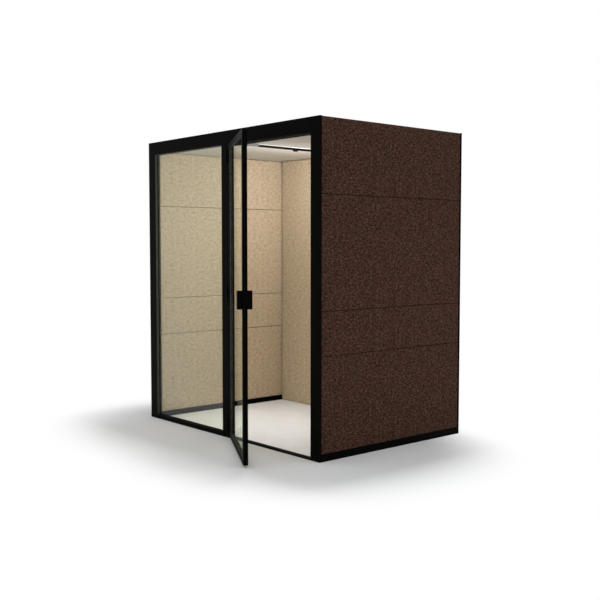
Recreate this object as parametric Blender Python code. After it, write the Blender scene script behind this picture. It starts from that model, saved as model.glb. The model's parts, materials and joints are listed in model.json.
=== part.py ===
"""Walk-in acoustic booth: a black glazed front with a swinging glass door, and padded fabric walls.

Metres, +Z up. X runs to the right as seen from the front and Y runs to the back.
The origin is the middle of the footprint, on the floor. The door stands part open.
"""
import math

import bmesh
import bpy
from mathutils import Matrix, Vector

# Overall size
WIDTH = 2.045
DEPTH = 1.383
HEIGHT = 2.200

# Gaps and softened edges
SEAT_GAP = 0.0003
EDGE = 0.001

# Wall build-up, from outside to inside
OUTER_PAD = 0.020
CORE = 0.050
INNER_PAD = 0.022
PLINTH_HEIGHT = 0.047
TRIM_DEPTH = 0.012

# Upholstered strips of the side walls, from the plinth up; the top strip takes the rest
OUTER_BOTTOM_STRIP = 0.631
OUTER_BAND_STRIP = 0.290
OUTER_MIDDLE_STRIP = 0.745
INNER_BOTTOM_STRIP = 0.626
INNER_BAND_STRIP = 0.292
INNER_MIDDLE_STRIP = 0.735
PAD_SEAM = 0.0016
PAD_ROUND = 0.005
PAD_ROUND_STEP = 0.3
PAD_SPANS = 4
PAD_CROWN = 0.0025
PAD_DRAW_IN = 0.0010

# Front frame
POST_WIDTH = 0.090
FLANGE_DEPTH = 0.016
HEAD_HEIGHT = 0.097
FIXED_BAY = 0.899
MULLION_WIDTH = 0.077
SILL_HEIGHT = 0.032
THRESHOLD_HEIGHT = 0.009
GLASS_BITE = 0.008
GLASS_CLEARANCE = 0.0005
FIXED_GLASS_SETBACK = 0.020
FIXED_GLASS_THICKNESS = 0.010

# Door leaf, its stop and its seal
DOOR_OPEN_DEG = 30.5
DOOR_THICKNESS = 0.031
DOOR_GAP = 0.003
DOOR_FLOOR_GAP = 0.006
STILE_WIDTH = 0.042
TOP_RAIL_HEIGHT = 0.026
BOTTOM_RAIL_HEIGHT = 0.030
DOOR_GLASS_THICKNESS = 0.008
STOP_WIDTH = 0.012
STOP_DEPTH = 0.012
SEAL_WIDTH = 0.008
SEAL_THICKNESS = 0.002
SEAL_AIR = 0.0008

# Pulls, one on each face of the lock stile
PULL_HEIGHT = 0.117
PULL_WIDTH = 0.038
PULL_PROUD = 0.032
PULL_BASE = 0.016
PULL_PLATE = 0.006
PULL_SETBACK = 0.014
PULL_CENTRE = 1.0495

# Barrel hinges
HINGE_HEIGHT = 0.100
HINGE_INSET = 0.085
KNUCKLE_RADIUS = 0.0065
KNUCKLE_STANDOFF = 0.0007
KNUCKLE_CLEARANCE = 0.0015
PIN_RADIUS = 0.003
PIN_CLEARANCE = 0.0003
PIN_SHORTFALL = 0.004
LEAF_WIDTH = 0.022
LEAF_THICKNESS = 0.0025

# Floor, ceiling and roof
FLOOR_THICKNESS = 0.006
CEILING_THICKNESS = 0.012
ROOF_CAVITY = 0.046
ROOF_THICKNESS = 0.012

# Ceiling light
LIGHT_LENGTH = 0.932
LIGHT_WIDTH = 0.036
LIGHT_BAR_HEIGHT = 0.013
DIFFUSER_WIDTH = 0.020
DIFFUSER_HEIGHT = 0.006
DRIVER_LENGTH = 0.100
SENSOR_LENGTH = 0.030
SENSOR_WIDTH = 0.028
SENSOR_HEIGHT = 0.010

# Roof fan, with its ceiling grille and roof vent
FAN_X = 0.43
FAN_Y = 0.21
FAN_SIZE = 0.140
FAN_HEADROOM = 0.008
FAN_BORE = 0.058
FAN_HUB = 0.020
FAN_BLADES = 7
BLADE_CHORD = 0.022
BLADE_THICKNESS = 0.002
BLADE_PITCH_DEG = 35.0
BLADE_TIP_GAP = 0.002
SPIDER_ARMS = 4
SPIDER_BOSS = 0.018
SPIDER_ARM_WIDTH = 0.006
SPIDER_THICKNESS = 0.004
SHAFT_RADIUS = 0.004
SHAFT_CLEARANCE = 0.0003
GRILLE_SIZE = 0.160
GRILLE_THICKNESS = 0.004
GRILLE_BORDER = 0.020
GRILLE_SLOT = 0.008
GRILLE_PITCH = 0.016
VENT_SIZE = 0.124
VENT_BORDER = 0.012
VENT_CLEARANCE = 0.0005

# Roundness of turned shapes, and the turn past which an edge is sharp
FINE_SIDES = 32
SMALL_SIDES = 16
SHARP_ANGLE = math.radians(40)

# Planes that several pieces share
WALL = OUTER_PAD + CORE + INNER_PAD
LEFT = -WIDTH / 2
RIGHT = WIDTH / 2
FRONT = -DEPTH / 2
BACK = DEPTH / 2
FRAME_DEPTH = DOOR_THICKNESS + SEAL_AIR + SEAL_THICKNESS + STOP_DEPTH
FRAME_BACK = FRONT + FRAME_DEPTH
CORE_BACK = BACK - OUTER_PAD
CORE_FRONT = CORE_BACK - CORE
ROOF_UNDER = HEIGHT - ROOF_THICKNESS
CEILING_TOP = ROOF_UNDER - ROOF_CAVITY
CEILING_UNDER = CEILING_TOP - CEILING_THICKNESS
HEAD_UNDER = HEIGHT - HEAD_HEIGHT
MULLION_LEFT = LEFT + POST_WIDTH + FIXED_BAY
DOORWAY_LEFT = MULLION_LEFT + MULLION_WIDTH
DOORWAY_RIGHT = RIGHT - POST_WIDTH

# The door turns about the hinge barrels, which stand just in front of the frame
AXIS_X = DOORWAY_LEFT + DOOR_GAP / 2
AXIS_Y = FRONT - KNUCKLE_RADIUS - KNUCKLE_STANDOFF

# Finishes: linear colour, roughness, metallic
FINISHES = {
    "black_coat": ((0.012, 0.012, 0.011), 0.38, 0.0),
    "brown_fabric": ((0.048, 0.026, 0.019), 0.95, 0.0),
    "cream_fabric": ((0.552, 0.434, 0.287), 0.95, 0.0),
    "clear_glass": ((0.80, 0.84, 0.76), 0.03, 0.0),
    "board": ((0.42, 0.31, 0.20), 0.80, 0.0),
    "pale_floor": ((0.70, 0.65, 0.62), 0.45, 0.0),
    "ceiling_white": ((0.78, 0.75, 0.71), 0.75, 0.0),
    "opal": ((0.95, 0.92, 0.85), 0.40, 0.0),
    "grey_case": ((0.22, 0.21, 0.20), 0.50, 0.0),
    "black_plastic": ((0.015, 0.015, 0.016), 0.55, 0.0),
    "black_rubber": ((0.010, 0.010, 0.010), 0.85, 0.0),
}


def clear_scene():
    for old in list(bpy.data.objects):
        bpy.data.objects.remove(old, do_unlink=True)


def finish(name):
    """The material of one finish, made the first time it is asked for."""
    material = bpy.data.materials.get(name)
    if material is None:
        colour, roughness, metallic = FINISHES[name]
        material = bpy.data.materials.new(name)
        material.use_nodes = True
        shader = material.node_tree.nodes["Principled BSDF"]
        shader.inputs["Base Color"].default_value = (*colour, 1.0)
        shader.inputs["Roughness"].default_value = roughness
        shader.inputs["Metallic"].default_value = metallic
        material.diffuse_color = (*colour, 1.0)
    return material


def soften(shape, width):
    """A small chamfer on the outward edges, as folded and extruded metal has."""
    sharp = [edge for edge in shape.edges if edge.is_convex and edge.calc_face_angle() > SHARP_ANGLE]
    bmesh.ops.bevel(shape, geom=sharp, offset=width, segments=1, affect="EDGES", clamp_overlap=True)


def add_object(name, shape, finish_name=None, location=(0, 0, 0), parent=None, edge=0.0):
    """Turns a bmesh into a named object. Without a finish it is a tool for a Boolean."""
    bmesh.ops.recalc_face_normals(shape, faces=shape.faces)
    if edge:
        soften(shape, edge)
    mesh = bpy.data.meshes.new(name)
    shape.to_mesh(mesh)
    shape.free()
    piece = bpy.data.objects.new(name, mesh)
    bpy.context.scene.collection.objects.link(piece)
    piece.location = location
    piece.parent = parent
    if finish_name is None:
        piece.hide_render = True
        piece.display_type = "WIRE"
    else:
        mesh.materials.append(finish(finish_name))
    return piece


def combine(piece, tool, operation):
    """Cuts a tool out of a piece, or joins it on."""
    modifier = piece.modifiers.new(tool.name, "BOOLEAN")
    modifier.operation = operation
    modifier.solver = "EXACT"
    modifier.object = tool
    return piece


def cuboid(low, high):
    """A box between two corners, with its origin at its middle, and that middle."""
    low = Vector(low)
    high = Vector(high)
    shape = bmesh.new()
    bmesh.ops.create_cube(shape, size=1.0)
    bmesh.ops.scale(shape, vec=high - low, verts=shape.verts)
    return shape, (low + high) / 2


def block(name, low, high, finish_name, parent=None, edge=EDGE):
    """A plain box-shaped piece between two corners."""
    shape, middle = cuboid(low, high)
    return add_object(name, shape, finish_name, middle, parent, edge)


def block_tool(name, low, high, parent=None):
    shape, middle = cuboid(low, high)
    return add_object(name, shape, None, middle, parent)


def extruded(outline, length):
    """A closed prism: the outline lies in XY and is pushed up by the length."""
    shape = bmesh.new()
    corners = [shape.verts.new((x, y, 0.0)) for x, y in outline]
    base = shape.faces.new(corners)
    pushed = bmesh.ops.extrude_face_region(shape, geom=[base])
    top = [item for item in pushed["geom"] if isinstance(item, bmesh.types.BMVert)]
    bmesh.ops.translate(shape, verts=top, vec=(0.0, 0.0, length))
    return shape


def circle(radius, sides):
    turns = [2 * math.pi * step / sides for step in range(sides)]
    return [(radius * math.cos(turn), radius * math.sin(turn)) for turn in turns]


def smooth(piece):
    """Round sides shade smoothly, while rims and corners stay crisp."""
    piece.data.shade_smooth()
    piece.data.set_sharp_from_angle(angle=SHARP_ANGLE)
    return piece


def round_tool(name, radius, low, high, location, sides, parent=None):
    shape = extruded(circle(radius, sides), high - low)
    return add_object(name, shape, None, Vector(location) + Vector((0, 0, low)), parent)


def pad(name, corner, along, width, height, thickness, finish_name):
    """An upholstered panel: flat back, rounded border, slight crown and drawn-in sides.

    It hangs upright. The corner is its lower back corner and along is the direction of its width.
    Its face looks along that direction crossed with +Z.
    """
    def stations(length):
        border = [0.0, PAD_ROUND * PAD_ROUND_STEP, PAD_ROUND]
        inner = [length * step / PAD_SPANS for step in range(1, PAD_SPANS)]
        return border + inner + [length - place for place in reversed(border)]

    def bulge(place, length):
        return 1.0 - (2.0 * place / length - 1.0) ** 2

    def face_height(u, v):
        inside = min(u, width - u, v, height - v)
        short = 1.0 - min(inside / PAD_ROUND, 1.0)
        rounding = PAD_ROUND * (1.0 - math.sqrt(1.0 - short ** 2))
        return thickness - PAD_CROWN * (1.0 - bulge(u, width) * bulge(v, height)) - rounding

    def drawn_in(place, length, across, across_length):
        shrink = 2.0 * PAD_DRAW_IN / length * bulge(across, across_length)
        return length / 2 + (place - length / 2) * (1.0 - shrink)

    columns = stations(width)
    rows = stations(height)
    shape = bmesh.new()
    grid = []
    for v in rows:
        line = []
        for u in columns:
            place = (drawn_in(u, width, v, height), drawn_in(v, height, u, width), face_height(u, v))
            line.append(shape.verts.new(place))
        grid.append(line)
    for low_line, high_line in zip(grid, grid[1:]):
        for step in range(len(columns) - 1):
            shape.faces.new((low_line[step], low_line[step + 1], high_line[step + 1], high_line[step]))
    last = len(columns) - 1
    rim = grid[0] + [line[last] for line in grid[1:]]
    rim += grid[-1][last - 1::-1] + [line[0] for line in grid[-2:0:-1]]
    back_rim = [shape.verts.new((point.co.x, point.co.y, 0.0)) for point in rim]
    for step, point in enumerate(rim):
        following = (step + 1) % len(rim)
        shape.faces.new((point, back_rim[step], back_rim[following], rim[following]))
    shape.faces.new(back_rim)
    piece = add_object(name, shape, finish_name)
    across = Vector(along)
    up = Vector((0, 0, 1))
    turn = Matrix((across, up, across.cross(up))).transposed().to_4x4()
    piece.matrix_world = Matrix.Translation(corner) @ turn
    return smooth(piece)


def pad_column(name, corner, along, width, strips, high, thickness, finish_name):
    """The strips of one face of a side wall, stacked on the plinth. The top one ends at the given height."""
    seams = [PLINTH_HEIGHT]
    for strip in strips:
        seams.append(seams[-1] + strip)
    seams.append(high)
    for strip, seam_low, seam_high in zip(("bottom", "band", "middle", "top"), seams, seams[1:]):
        foot = (corner[0], corner[1], seam_low + PAD_SEAM / 2)
        height = seam_high - seam_low - PAD_SEAM
        pad(f"{name}_{strip}", foot, along, width, height, thickness, finish_name)


def base():
    block("floor_panel", (LEFT + WALL + SEAT_GAP, FRAME_BACK + SEAT_GAP, 0),
          (RIGHT - WALL - SEAT_GAP, CORE_FRONT - SEAT_GAP, FLOOR_THICKNESS), "pale_floor")
    for side, name in ((-1, "left"), (1, "right")):
        outer = side * WIDTH / 2
        pad_line = outer - side * OUTER_PAD
        inner = outer - side * WALL
        front_of_pad = FRONT + FLANGE_DEPTH + SEAT_GAP
        front_of_core = FRAME_BACK + SEAT_GAP
        outline = [(outer, front_of_pad), (pad_line, front_of_pad), (pad_line, front_of_core),
                   (inner, front_of_core), (inner, BACK), (outer, BACK)]
        add_object(f"plinth_{name}", extruded(outline, PLINTH_HEIGHT), "black_coat", edge=EDGE)
    block("plinth_back", (LEFT + WALL + SEAT_GAP, CORE_FRONT + SEAT_GAP, 0),
          (RIGHT - WALL - SEAT_GAP, BACK, PLINTH_HEIGHT), "black_coat")


def walls():
    core_low = PLINTH_HEIGHT + SEAT_GAP
    core_high = ROOF_UNDER - SEAT_GAP
    for side, name in ((-1, "left"), (1, "right")):
        outer_line = side * (WIDTH / 2 - OUTER_PAD - SEAT_GAP)
        inner_line = side * (WIDTH / 2 - OUTER_PAD - CORE + SEAT_GAP)
        block(f"wall_core_{name}", (min(outer_line, inner_line), FRAME_BACK + SEAT_GAP, core_low),
              (max(outer_line, inner_line), CORE_BACK - SEAT_GAP, core_high), "board", edge=0)
        trim_line = side * (WIDTH / 2 - OUTER_PAD + SEAT_GAP)
        outer = side * WIDTH / 2
        block(f"back_trim_{name}", (min(trim_line, outer), BACK - TRIM_DEPTH, core_low),
              (max(trim_line, outer), BACK, HEIGHT), "black_coat")
    side_core = OUTER_PAD + CORE
    block("wall_core_back", (LEFT + side_core, CORE_FRONT + SEAT_GAP, core_low),
          (RIGHT - side_core, CORE_BACK - SEAT_GAP, core_high), "board", edge=0)


def upholstery():
    outer_front = FRONT + FLANGE_DEPTH + SEAT_GAP
    outer_back = BACK - TRIM_DEPTH - SEAT_GAP
    outer_run = outer_back - outer_front
    outer_strips = (OUTER_BOTTOM_STRIP, OUTER_BAND_STRIP, OUTER_MIDDLE_STRIP)
    pad_column("left_outer_panel", (LEFT + OUTER_PAD, outer_back), (0, -1, 0), outer_run,
               outer_strips, HEIGHT, OUTER_PAD, "brown_fabric")
    pad_column("right_outer_panel", (RIGHT - OUTER_PAD, outer_front), (0, 1, 0), outer_run,
               outer_strips, HEIGHT, OUTER_PAD, "brown_fabric")
    back_low = PLINTH_HEIGHT + PAD_SEAM / 2
    back_width = WIDTH - 2 * OUTER_PAD - 2 * SEAT_GAP
    pad("back_outer_panel", (RIGHT - OUTER_PAD - SEAT_GAP, CORE_BACK, back_low), (-1, 0, 0), back_width,
        HEIGHT - PAD_SEAM / 2 - back_low, OUTER_PAD, "brown_fabric")

    inner_front = FRAME_BACK + SEAT_GAP
    inner_back = CORE_FRONT - SEAT_GAP
    inner_run = inner_back - inner_front
    inner_strips = (INNER_BOTTOM_STRIP, INNER_BAND_STRIP, INNER_MIDDLE_STRIP)
    core_face = WIDTH / 2 - OUTER_PAD - CORE
    pad_column("left_inner_panel", (-core_face, inner_front), (0, 1, 0), inner_run,
               inner_strips, CEILING_UNDER, INNER_PAD, "cream_fabric")
    pad_column("right_inner_panel", (core_face, inner_back), (0, -1, 0), inner_run,
               inner_strips, CEILING_UNDER, INNER_PAD, "cream_fabric")
    back_low = FLOOR_THICKNESS + SEAT_GAP
    back_width = WIDTH - 2 * WALL - 2 * SEAT_GAP
    pad("back_inner_panel", (LEFT + WALL + SEAT_GAP, CORE_FRONT, back_low), (1, 0, 0), back_width,
        CEILING_UNDER - SEAT_GAP - back_low, INNER_PAD, "cream_fabric")


def post_outline(side):
    """A post in plan: a flange that shows at the front corner and a web that the outer panel laps."""
    outer = side * WIDTH / 2
    inner = outer - side * POST_WIDTH
    web = outer - side * (OUTER_PAD + SEAT_GAP)
    return [(outer, FRONT), (inner, FRONT), (inner, FRAME_BACK), (web, FRAME_BACK),
            (web, FRONT + FLANGE_DEPTH), (outer, FRONT + FLANGE_DEPTH)]


def front_frame():
    post_left = add_object("front_post_left", extruded(post_outline(-1), HEIGHT), "black_coat", edge=EDGE)
    add_object("front_post_right", extruded(post_outline(1), HEIGHT), "black_coat", edge=EDGE)
    head = block("front_head", (LEFT + POST_WIDTH + SEAT_GAP, FRONT, HEAD_UNDER),
                 (RIGHT - POST_WIDTH - SEAT_GAP, FRAME_BACK, HEIGHT), "black_coat")
    mullion = block("front_mullion", (MULLION_LEFT, FRONT, 0),
                    (DOORWAY_LEFT, FRAME_BACK, HEAD_UNDER - SEAT_GAP), "black_coat")
    sill = block("front_sill", (LEFT + POST_WIDTH + SEAT_GAP, FRONT, 0),
                 (MULLION_LEFT - SEAT_GAP, FRAME_BACK, SILL_HEIGHT), "black_coat")
    block("door_threshold", (DOORWAY_LEFT + SEAT_GAP, FRONT, 0),
          (DOORWAY_RIGHT - SEAT_GAP, FRAME_BACK, THRESHOLD_HEIGHT), "black_coat")

    glass_front = FRONT + FIXED_GLASS_SETBACK
    low = Vector((LEFT + POST_WIDTH - GLASS_BITE, glass_front, SILL_HEIGHT - GLASS_BITE))
    high = Vector((MULLION_LEFT + GLASS_BITE, glass_front + FIXED_GLASS_THICKNESS, HEAD_UNDER + GLASS_BITE))
    block("fixed_glass", low, high, "clear_glass")
    margin = Vector((GLASS_CLEARANCE, GLASS_CLEARANCE, GLASS_CLEARANCE))
    groove = block_tool("fixed_glass_groove", low - margin, high + margin)
    for member in (post_left, head, mullion, sill):
        combine(member, groove, "DIFFERENCE")


def doorway_arch(width, low):
    """A strip round the top and both sides of the doorway, in X and height above low."""
    left = DOORWAY_LEFT + SEAT_GAP
    right = DOORWAY_RIGHT - SEAT_GAP
    top = HEAD_UNDER - SEAT_GAP - low
    return [(left, 0), (left, top), (right, top), (right, 0), (right - width, 0),
            (right - width, top - width), (left + width, top - width), (left + width, 0)]


def upright(piece, back_face, low):
    """Stands an extruded outline up: its height is then Z, and it runs forward from back_face."""
    piece.rotation_euler = (math.radians(90), 0, 0)
    piece.location = (0, back_face, low)
    return piece


def door_stop_and_seal():
    low = THRESHOLD_HEIGHT + SEAT_GAP
    stop = extruded(doorway_arch(STOP_WIDTH, low), STOP_DEPTH)
    upright(add_object("door_stop", stop, "black_coat"), FRAME_BACK, low)
    seal = extruded(doorway_arch(SEAL_WIDTH, low), SEAL_THICKNESS - SEAT_GAP)
    upright(add_object("door_seal", seal, "black_rubber"), FRAME_BACK - STOP_DEPTH - SEAT_GAP, low)


def door():
    """The leaf and its pulls hang on an empty on the hinge axis, which sets how far it stands open."""
    pivot = bpy.data.objects.new("door_pivot", None)
    bpy.context.scene.collection.objects.link(pivot)
    pivot.location = (AXIS_X, AXIS_Y, 0)
    pivot.rotation_euler = (0, 0, -math.radians(DOOR_OPEN_DEG))

    near = DOOR_GAP / 2
    far = DOORWAY_RIGHT - DOOR_GAP - AXIS_X
    face = FRONT - AXIS_Y
    inside = face + DOOR_THICKNESS
    low = THRESHOLD_HEIGHT + DOOR_FLOOR_GAP
    high = HEAD_UNDER - DOOR_GAP
    rail_near = near + STILE_WIDTH
    rail_far = far - STILE_WIDTH
    members = [
        block("door_hinge_stile", (near, face, low), (rail_near, inside, high), "black_coat", pivot),
        block("door_lock_stile", (rail_far, face, low), (far, inside, high), "black_coat", pivot),
        block("door_top_rail", (rail_near + SEAT_GAP, face, high - TOP_RAIL_HEIGHT),
              (rail_far - SEAT_GAP, inside, high), "black_coat", pivot),
        block("door_bottom_rail", (rail_near + SEAT_GAP, face, low),
              (rail_far - SEAT_GAP, inside, low + BOTTOM_RAIL_HEIGHT), "black_coat", pivot),
    ]
    glass_front = (face + inside - DOOR_GLASS_THICKNESS) / 2
    glass_low = Vector((rail_near - GLASS_BITE, glass_front, low + BOTTOM_RAIL_HEIGHT - GLASS_BITE))
    glass_high = Vector((rail_far + GLASS_BITE, glass_front + DOOR_GLASS_THICKNESS,
                         high - TOP_RAIL_HEIGHT + GLASS_BITE))
    block("door_glass", glass_low, glass_high, "clear_glass", pivot)
    margin = Vector((GLASS_CLEARANCE, GLASS_CLEARANCE, GLASS_CLEARANCE))
    groove = block_tool("door_glass_groove", glass_low - margin, glass_high + margin, pivot)
    for member in members:
        combine(member, groove, "DIFFERENCE")
    pull("pull_outer", far, face - SEAT_GAP, -1, pivot)
    pull("pull_inner", far, inside + SEAT_GAP, 1, pivot)
    hinges(low, high, face, pivot)


def pull(name, free_edge, foot, away, pivot):
    """An L-shaped pull: a base on the stile and a plate that fingers reach behind from the hinge side."""
    end = free_edge - PULL_SETBACK
    start = end - PULL_WIDTH
    proud = foot + away * PULL_PROUD
    behind = proud - away * PULL_PLATE
    outline = [(start, proud), (end, proud), (end, foot), (end - PULL_BASE, foot),
               (end - PULL_BASE, behind), (start, behind)]
    low = PULL_CENTRE - PULL_HEIGHT / 2
    add_object(name, extruded(outline, PULL_HEIGHT), "black_coat", (0, 0, low), pivot, EDGE)


def hinges(door_low, door_high, face, pivot):
    """Lift-off hinges: the lower knuckle and pin stay on the mullion, the upper knuckle is the door's."""
    heights = {
        "bottom": door_low + HINGE_INSET,
        "middle": (door_low + door_high) / 2,
        "top": door_high - HINGE_INSET,
    }
    half = HINGE_HEIGHT / 2
    leaf_near = KNUCKLE_RADIUS + KNUCKLE_CLEARANCE
    leaf_far = leaf_near + LEAF_WIDTH
    leaf_back = face - SEAT_GAP
    leaf_front = leaf_back - LEAF_THICKNESS
    for name, height in heights.items():
        frame_spot = Vector((AXIS_X, AXIS_Y, height))
        door_spot = Vector((0, 0, height))
        for part, spot, side, low, high, parent in (
                ("frame_leaf", frame_spot, -1, -half, -SEAT_GAP / 2, None),
                ("door_leaf", door_spot, 1, SEAT_GAP / 2, half, pivot)):
            title = f"hinge_{name}_{part}"
            barrel = extruded(circle(KNUCKLE_RADIUS, SMALL_SIDES), high - low)
            knuckle = add_object(title, barrel, "black_coat", spot + Vector((0, 0, low)), parent)
            plate_ends = sorted((side * leaf_near, side * leaf_far))
            plate = block_tool(f"{title}_plate", spot + Vector((plate_ends[0], leaf_front, -half)),
                               spot + Vector((plate_ends[1], leaf_back, half)), parent)
            neck_ends = sorted((0.0, side * (leaf_near + LEAF_THICKNESS)))
            neck = block_tool(f"{title}_neck", spot + Vector((neck_ends[0], leaf_front, low)),
                              spot + Vector((neck_ends[1], leaf_back, high)), parent)
            combine(knuckle, neck, "UNION")
            combine(knuckle, plate, "UNION")
            if part == "frame_leaf":
                pin = round_tool(f"{title}_pin", PIN_RADIUS, -half / 2, half - PIN_SHORTFALL,
                                 spot, SMALL_SIDES)
                combine(knuckle, pin, "UNION")
            else:
                bore = round_tool(f"{title}_bore", PIN_RADIUS + PIN_CLEARANCE, low - half / 2,
                                  half + half / 2, spot, SMALL_SIDES, parent)
                combine(knuckle, bore, "DIFFERENCE")
            smooth(knuckle)


def ceiling_and_roof():
    ceiling_side = OUTER_PAD + CORE + SEAT_GAP
    ceiling = block("ceiling_panel", (LEFT + ceiling_side, FRAME_BACK + SEAT_GAP, CEILING_UNDER),
                    (RIGHT - ceiling_side, CORE_FRONT - SEAT_GAP, CEILING_TOP), "ceiling_white", edge=0)
    intake = round_tool("ceiling_intake", FAN_BORE, CEILING_UNDER - CEILING_THICKNESS,
                        CEILING_TOP + CEILING_THICKNESS, (FAN_X, FAN_Y, 0), FINE_SIDES)
    combine(ceiling, intake, "DIFFERENCE")

    roof_side = WIDTH / 2 - OUTER_PAD - SEAT_GAP
    roof = block("roof_panel", (-roof_side, FRAME_BACK + SEAT_GAP, ROOF_UNDER),
                 (roof_side, CORE_BACK - SEAT_GAP, HEIGHT), "black_coat")
    reach = VENT_SIZE / 2 + VENT_CLEARANCE
    exhaust = block_tool("roof_exhaust", (FAN_X - reach, FAN_Y - reach, ROOF_UNDER - ROOF_THICKNESS),
                         (FAN_X + reach, FAN_Y + reach, HEIGHT + ROOF_THICKNESS))
    combine(roof, exhaust, "DIFFERENCE")


def slotted_plate(name, size, border, low, high, finish_name):
    """A square plate over the fan with a row of slots through it."""
    half = size / 2
    plate = block(name, (FAN_X - half, FAN_Y - half, low), (FAN_X + half, FAN_Y + half, high), finish_name,
                  edge=0)
    room = size - 2 * border
    count = int((room - GRILLE_SLOT) / GRILLE_PITCH) + 1
    slots = bmesh.new()
    for step in range(count):
        offset = (step - (count - 1) / 2) * GRILLE_PITCH
        slot = bmesh.ops.create_cube(slots, size=1.0)["verts"]
        bmesh.ops.scale(slots, vec=(GRILLE_SLOT, room, 3 * (high - low)), verts=slot)
        bmesh.ops.translate(slots, vec=(offset, 0, 0), verts=slot)
    tool = add_object(f"{name}_slots", slots, None, (FAN_X, FAN_Y, (low + high) / 2))
    combine(plate, tool, "DIFFERENCE")


def fan():
    seat = CEILING_TOP + SEAT_GAP
    height = ROOF_CAVITY - FAN_HEADROOM
    axis = Vector((FAN_X, FAN_Y, seat))
    half = FAN_SIZE / 2
    housing = block("fan_housing", axis + Vector((-half, -half, 0)), axis + Vector((half, half, height)),
                    "black_plastic", edge=0)
    bore = round_tool("fan_bore", FAN_BORE, -height, 2 * height, axis, FINE_SIDES)
    combine(housing, bore, "DIFFERENCE")
    boss = round_tool("fan_boss", SPIDER_BOSS, 0, SPIDER_THICKNESS, axis, FINE_SIDES)
    combine(housing, boss, "UNION")
    arms = bmesh.new()
    arm_end = (FAN_BORE + half) / 2
    for step in range(SPIDER_ARMS):
        arm = bmesh.ops.create_cube(arms, size=1.0)["verts"]
        arm_start = SPIDER_BOSS / 2
        bmesh.ops.scale(arms, vec=(arm_end - arm_start, SPIDER_ARM_WIDTH, SPIDER_THICKNESS), verts=arm)
        bmesh.ops.translate(arms, vec=((arm_start + arm_end) / 2, 0, SPIDER_THICKNESS / 2), verts=arm)
        turn = Matrix.Rotation(2 * math.pi * step / SPIDER_ARMS, 3, "Z")
        bmesh.ops.rotate(arms, cent=(0, 0, 0), matrix=turn, verts=arm)
    combine(housing, add_object("fan_arms", arms, None, axis), "UNION")
    hub_low = SPIDER_THICKNESS + SEAT_GAP
    hub_high = height - SPIDER_THICKNESS
    shaft = round_tool("fan_shaft", SHAFT_RADIUS, SPIDER_THICKNESS / 2, hub_high, axis, SMALL_SIDES)
    combine(housing, shaft, "UNION")

    hub = extruded(circle(FAN_HUB, FINE_SIDES), hub_high - hub_low)
    rotor = smooth(add_object("fan_rotor", hub, "black_plastic", axis + Vector((0, 0, hub_low))))
    blades = bmesh.new()
    tip = math.sqrt((FAN_BORE - BLADE_TIP_GAP) ** 2 - (BLADE_CHORD / 2) ** 2)
    root = (FAN_HUB + SHAFT_RADIUS) / 2
    for step in range(FAN_BLADES):
        blade = bmesh.ops.create_cube(blades, size=1.0)["verts"]
        bmesh.ops.scale(blades, vec=(tip - root, BLADE_CHORD, BLADE_THICKNESS), verts=blade)
        bmesh.ops.translate(blades, vec=((tip + root) / 2, 0, 0), verts=blade)
        pitch = Matrix.Rotation(math.radians(BLADE_PITCH_DEG), 3, "X")
        bmesh.ops.rotate(blades, cent=(0, 0, 0), matrix=pitch, verts=blade)
        turn = Matrix.Rotation(2 * math.pi * step / FAN_BLADES, 3, "Z")
        bmesh.ops.rotate(blades, cent=(0, 0, 0), matrix=turn, verts=blade)
    blade_height = (hub_low + hub_high) / 2
    combine(rotor, add_object("fan_blades", blades, None, axis + Vector((0, 0, blade_height))), "UNION")
    hub_bore = round_tool("fan_hub_bore", SHAFT_RADIUS + SHAFT_CLEARANCE, -height, 2 * height,
                          axis, SMALL_SIDES)
    combine(rotor, hub_bore, "DIFFERENCE")

    grille_top = CEILING_UNDER - SEAT_GAP
    slotted_plate("ceiling_grille", GRILLE_SIZE, GRILLE_BORDER, grille_top - GRILLE_THICKNESS, grille_top,
                  "black_coat")
    slotted_plate("roof_vent", VENT_SIZE, VENT_BORDER, seat + height + SEAT_GAP, HEIGHT, "black_plastic")


def ceiling_light():
    middle = (FRAME_BACK + BACK - WALL) / 2
    front = middle - LIGHT_LENGTH / 2
    back = middle + LIGHT_LENGTH / 2
    bar_front = front + DRIVER_LENGTH + SEAT_GAP
    diffuser_top = CEILING_UNDER - SEAT_GAP
    bar_top = diffuser_top - DIFFUSER_HEIGHT - SEAT_GAP
    bar_low = bar_top - LIGHT_BAR_HEIGHT
    half = LIGHT_WIDTH / 2
    block("light_driver", (-half, front, bar_low), (half, front + DRIVER_LENGTH, diffuser_top), "grey_case")
    block("light_channel", (-half, bar_front, bar_low), (half, back, bar_top), "black_coat")
    block("light_diffuser", (-DIFFUSER_WIDTH / 2, bar_front, diffuser_top - DIFFUSER_HEIGHT),
          (DIFFUSER_WIDTH / 2, back, diffuser_top), "opal")
    sensor_top = bar_low - SEAT_GAP
    block("presence_sensor", (-SENSOR_WIDTH / 2, middle - SENSOR_LENGTH / 2, sensor_top - SENSOR_HEIGHT),
          (SENSOR_WIDTH / 2, middle + SENSOR_LENGTH / 2, sensor_top), "black_plastic")


def main():
    clear_scene()
    base()
    walls()
    upholstery()
    front_frame()
    door_stop_and_seal()
    door()
    ceiling_and_roof()
    fan()
    ceiling_light()


main()
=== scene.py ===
# %% [markdown]
# # A walk-in booth with padded wool walls
#
# This lesson dresses the CAD model of a small office booth. Its front is a black metal frame with one
# fixed pane and one glass door, its walls are padded panels of wool, brown outside and cream inside, and
# its room has a pale floor, a pale ceiling and a slim light.
#
# The CAD solids already have the right sizes and places. Blender adds what they lack: cloth that swells
# over its foam, yarns, coats of paint, rubber beads, screws, light and a camera. A solid that is right as
# it is keeps its mesh and gets a finish. A padded solid is hidden behind a sewn cover.

# %% Load the CAD model
import json
import math

import bpy
import numpy as np
from mathutils import Matrix, Vector

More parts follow.
